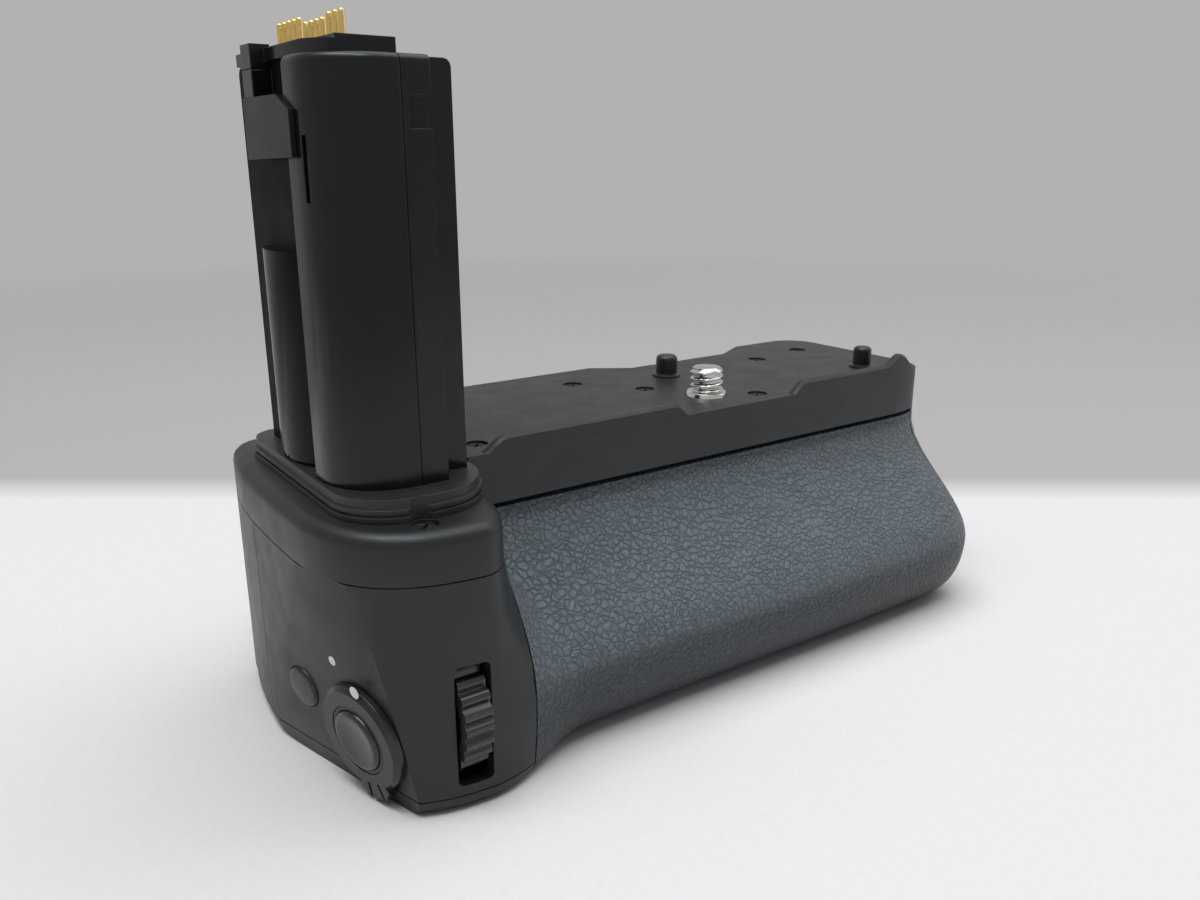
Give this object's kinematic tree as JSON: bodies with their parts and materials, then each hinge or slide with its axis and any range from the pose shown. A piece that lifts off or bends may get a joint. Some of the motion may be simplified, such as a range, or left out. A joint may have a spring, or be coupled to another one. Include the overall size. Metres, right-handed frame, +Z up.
{
  "type": "camera battery grip",
  "caption": "Vertical battery grip for a camera: long body with a rubber hand grip and mounting screw, a head with controls, and an upright contact tower at one end.",
  "frame": {"origin": "centre of the tripod socket's mouth in the base, straight below the mounting screw", "axes": "+X along the grip away from the head, +Y to the rear, +Z up out of the mounting face"},
  "size_m": [0.1421, 0.0661, 0.1089],
  "materials": {
    "body_shell": "fine spark-eroded grain, matte charcoal",
    "inner_plastic": "plain moulded black",
    "grip_rubber": "pebbled leather grain, matte slate black",
    "soft_seal": "smooth black rubber",
    "end_plastic": "smooth satin black",
    "tower_plastic": "satin black, fine grain",
    "matte_black": "matte black",
    "gloss_black": "glossy black",
    "control_plastic": "satin dark grey",
    "control_rubber": "ribbed black rubber",
    "inner_black": "plain moulded black",
    "board": "green solder mask",
    "bright_screw": "bright nickel plate",
    "brass_gear": "plain turned brass",
    "steel": "plain steel",
    "black_screw": "black oxide",
    "black_pin": "black satin",
    "gold_contact": "gold plate"
  },
  "bodies": {
    "housing": {"top_plate": "body_shell", "plate_screws": "black_screw", "rear_locating_pin": "black_pin", "end_locating_pin": "black_pin", "idler_axle": "steel", "wheel_axle": "steel", "drive_bracket": "brass_gear", "bracket_screws": "steel", "circuit_board": "board", "head_shell": "body_shell", "head_cap": "body_shell", "shoulder_screw": "black_screw", "grip_skin": "grip_rubber", "front_shell": "inner_plastic", "rear_cover": "body_shell", "rear_pad": "grip_rubber", "base_cover": "body_shell", "base_screws": "black_screw", "tripod_socket": "bright_screw", "shutter_switch": "inner_black", "function_switch": "inner_black", "front_dial_axle": "steel", "rear_dial_axle": "steel", "rear_switches": "inner_black", "selector_seat": "inner_black", "tower_left_shell": "tower_plastic", "tower_right_shell": "tower_plastic", "collar": "soft_seal", "latch_pad": "matte_black", "latch_housing": "gloss_black", "connector_cap": "tower_plastic", "battery_box": "inner_plastic", "end_frame": "body_shell", "contact_block": "inner_black", "contact_blades": "gold_contact"},
    "screw": {"mounting_screw": "bright_screw", "screw_gear": "brass_gear"},
    "idler": {"idler_gear": "brass_gear"},
    "wheel": {"attachment_wheel": "control_rubber"},
    "shutter": {"shutter_button": "control_plastic"},
    "lock": {"lock_ring": "control_plastic"},
    "function": {"function_button": "control_plastic"},
    "front_dial": {"front_dial": "control_rubber"},
    "rear_dial": {"rear_dial": "control_rubber"},
    "af": {"af_button": "control_plastic"},
    "info": {"info_button": "control_plastic"},
    "gimbal": {"selector_gimbal": "steel"},
    "selector": {"selector": "control_rubber"},
    "pins": {"contact_pins": "gold_contact"},
    "drawer": {"battery_tray": "inner_plastic", "tray_terminals": "gold_contact", "end_cap": "end_plastic", "tray_seal": "soft_seal"},
    "knob": {"latch_knob": "end_plastic"}
  },
  "joints": [
    {"name": "attachment_wheel_turn", "type": "hinge", "parent": "housing", "child": "wheel", "pos_m": [0, 0.0207, 0.04], "axis": [0, 0, 1], "continuous": true},
    {"name": "idler_turn", "type": "hinge", "parent": "housing", "child": "idler", "pos_m": [0.00751, 0.00936, 0.036], "axis": [0, 0, 1], "continuous": true},
    {"name": "mounting_screw_turn", "type": "hinge", "parent": "housing", "child": "screw", "pos_m": [0, 0, 0.04], "axis": [0, 0, 1], "continuous": true},
    {"name": "shutter_press", "type": "slide", "parent": "housing", "child": "shutter", "axis": [0.9577, 0.2566, 0.1305], "range_m": [0, 0.0014], "stiffness_N_per_m": 700, "springref_m": -0.0003},
    {"name": "lock_ring_turn", "type": "hinge", "parent": "housing", "child": "lock", "pos_m": [-0.0791, -0.0176, 0.0104], "axis": [-0.9577, -0.2566, -0.1305], "range_deg": [0, 40]},
    {"name": "function_press", "type": "slide", "parent": "housing", "child": "function", "axis": [0.9577, 0.2566, 0.1305], "range_m": [0, 0.0009], "stiffness_N_per_m": 1200, "springref_m": -0.0003},
    {"name": "front_dial_turn", "type": "hinge", "parent": "housing", "child": "front_dial", "pos_m": [-0.0675, -0.0211, 0.0137], "axis": [1, 0, 0], "continuous": true},
    {"name": "rear_dial_turn", "type": "hinge", "parent": "housing", "child": "rear_dial", "pos_m": [-0.0705, 0.0243, 0.0126], "axis": [1, 0, 0], "continuous": true},
    {"name": "af_press", "type": "slide", "parent": "housing", "child": "af", "axis": [0, -1, 0], "range_m": [0, 0.0009], "stiffness_N_per_m": 1200, "springref_m": -0.0003},
    {"name": "info_press", "type": "slide", "parent": "housing", "child": "info", "axis": [0, -1, 0], "range_m": [0, 0.0009], "stiffness_N_per_m": 1200, "springref_m": -0.0003},
    {"name": "selector_tilt_up_down", "type": "hinge", "parent": "housing", "child": "gimbal", "pos_m": [-0.0705, 0.027, 0.0296], "axis": [1, 0, 0], "range_deg": [-7, 7], "stiffness_Nm_per_rad": 0.05},
    {"name": "selector_tilt_side", "type": "hinge", "parent": "gimbal", "child": "selector", "pos_m": [-0.0705, 0.027, 0.0296], "axis": [0, 0, 1], "range_deg": [-7, 7], "stiffness_Nm_per_rad": 0.05},
    {"name": "contact_pins_press", "type": "slide", "parent": "housing", "child": "pins", "axis": [0, 0, -1], "range_m": [0, 0.0012], "stiffness_N_per_m": 2000, "springref_m": -0.0003},
    {"name": "drawer_slide", "type": "slide", "parent": "housing", "child": "drawer", "axis": [1, 0, 0], "range_m": [0, 0.115]},
    {"name": "latch_knob_turn", "type": "hinge", "parent": "drawer", "child": "knob", "pos_m": [0.0575, 0.0085, 0.0177], "axis": [1, 0, 0], "range_deg": [0, 90]}
  ],
  "couplings": [
    {"joint": "idler_turn", "follows": "attachment_wheel_turn", "ratio": -1.125},
    {"joint": "mounting_screw_turn", "follows": "attachment_wheel_turn", "ratio": 1.2857}
  ]
}
